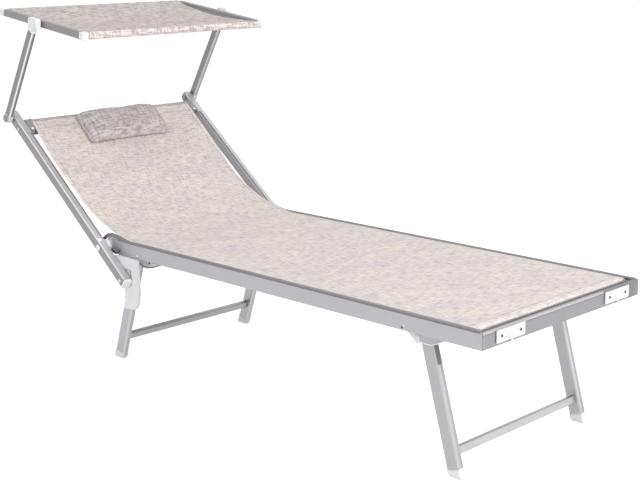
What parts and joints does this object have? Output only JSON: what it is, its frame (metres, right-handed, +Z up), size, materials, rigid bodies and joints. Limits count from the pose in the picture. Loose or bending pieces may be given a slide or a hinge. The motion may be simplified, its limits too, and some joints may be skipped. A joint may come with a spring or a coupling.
{
  "type": "sun lounger with canopy",
  "caption": "Folding aluminium sun lounger with a fabric sling, reclining backrest, head pillow, folding legs and a small tilting canopy over the head.",
  "frame": {"origin": "middle of the bounding box's base, on the floor that the feet stand on", "axes": "+X towards the foot end, +Y towards the left-hand side of whoever lies on it, +Z up"},
  "size_m": [1.7546, 0.7198, 0.994],
  "materials": {
    "satin_aluminium": "satin extruded profile",
    "dark_aluminium": "satin, a darker grey",
    "zinc_steel": "zinc plated",
    "white_plastic": "moulded, satin",
    "grey_plastic": "moulded, satin",
    "sling_fabric": "woven coated yarn, melange of cream and beige-grey",
    "pillow_fabric": "woven melange, grey-brown"
  },
  "bodies": {
    "seat_frame": {"seat_rail_right": "satin_aluminium", "seat_rail_left": "satin_aluminium", "foot_rail": "satin_aluminium", "seat_cross_tube": "satin_aluminium", "foot_hem_rod": "zinc_steel", "rail_head_cap_right": "grey_plastic", "rail_head_cap_left": "grey_plastic", "hinge_bush_right": "white_plastic", "hinge_bush_left": "white_plastic", "hinge_bolt_right": "zinc_steel", "hinge_bolt_left": "zinc_steel", "front_leg_bracket_right": "white_plastic", "front_leg_bracket_left": "white_plastic", "backrest_rack_right": "white_plastic", "backrest_rack_left": "white_plastic", "foot_plate_right": "white_plastic", "foot_plate_left": "white_plastic", "seat_sling": "sling_fabric", "sling_bend": "sling_fabric"},
    "backrest": {"backrest_rail_right": "satin_aluminium", "backrest_rail_left": "satin_aluminium", "backrest_top_bar": "satin_aluminium", "top_bar_bracket_right": "grey_plastic", "top_bar_bracket_left": "grey_plastic", "backrest_top_cap_right": "grey_plastic", "backrest_top_cap_left": "grey_plastic", "backrest_low_plug_right": "white_plastic", "backrest_low_plug_left": "white_plastic", "backrest_sling": "sling_fabric", "head_pillow": "pillow_fabric"},
    "front_legs": {"front_leg_right": "satin_aluminium", "front_leg_left": "satin_aluminium", "front_leg_stretcher": "satin_aluminium", "front_leg_top_tube": "zinc_steel", "front_foot_right": "white_plastic", "front_foot_left": "white_plastic"},
    "rear_legs": {"rear_leg_right": "satin_aluminium", "rear_leg_left": "satin_aluminium", "rear_leg_stretcher": "satin_aluminium", "rear_leg_top_tube": "zinc_steel", "rear_foot_right": "white_plastic", "rear_foot_left": "white_plastic"},
    "canopy_arms": {"canopy_arm_right": "satin_aluminium", "canopy_arm_left": "satin_aluminium", "arm_foot_cap_right": "grey_plastic", "arm_foot_cap_left": "grey_plastic", "arm_knob_right": "grey_plastic", "arm_knob_left": "grey_plastic", "arm_head_block_right": "white_plastic", "arm_head_block_left": "white_plastic"},
    "canopy": {"canopy_side_bar_right": "dark_aluminium", "canopy_side_bar_left": "dark_aluminium", "canopy_head_bar": "satin_aluminium", "canopy_foot_bar": "satin_aluminium", "canopy_corner_head_right": "white_plastic", "canopy_corner_head_left": "white_plastic", "canopy_corner_foot_right": "white_plastic", "canopy_corner_foot_left": "white_plastic", "canopy_fabric": "sling_fabric"}
  },
  "joints": [
    {"name": "backrest_recline", "type": "hinge", "parent": "seat_frame", "child": "backrest", "pos_m": [-0.43655, 0, 0.35175], "axis": [0, 1, 0], "range_deg": [-38.7, 85], "deforming": ["sling_bend"]},
    {"name": "front_leg_fold", "type": "hinge", "parent": "seat_frame", "child": "front_legs", "pos_m": [0.67445, 0, 0.314], "axis": [0, 1, 0], "range_deg": [0, 105.6]},
    {"name": "rear_leg_fold", "type": "hinge", "parent": "seat_frame", "child": "rear_legs", "pos_m": [-0.38405, 0, 0.314], "axis": [0, 1, 0], "range_deg": [-109.1, 0]},
    {"name": "canopy_arm_swing", "type": "hinge", "parent": "backrest", "child": "canopy_arms", "pos_m": [-0.84432, 0, 0.67844], "axis": [0, 1, 0], "range_deg": [-90, 35]},
    {"name": "canopy_tilt", "type": "hinge", "parent": "canopy_arms", "child": "canopy", "pos_m": [-0.67597, 0, 0.95643], "axis": [0, 1, 0], "range_deg": [-90, 80]}
  ]
}
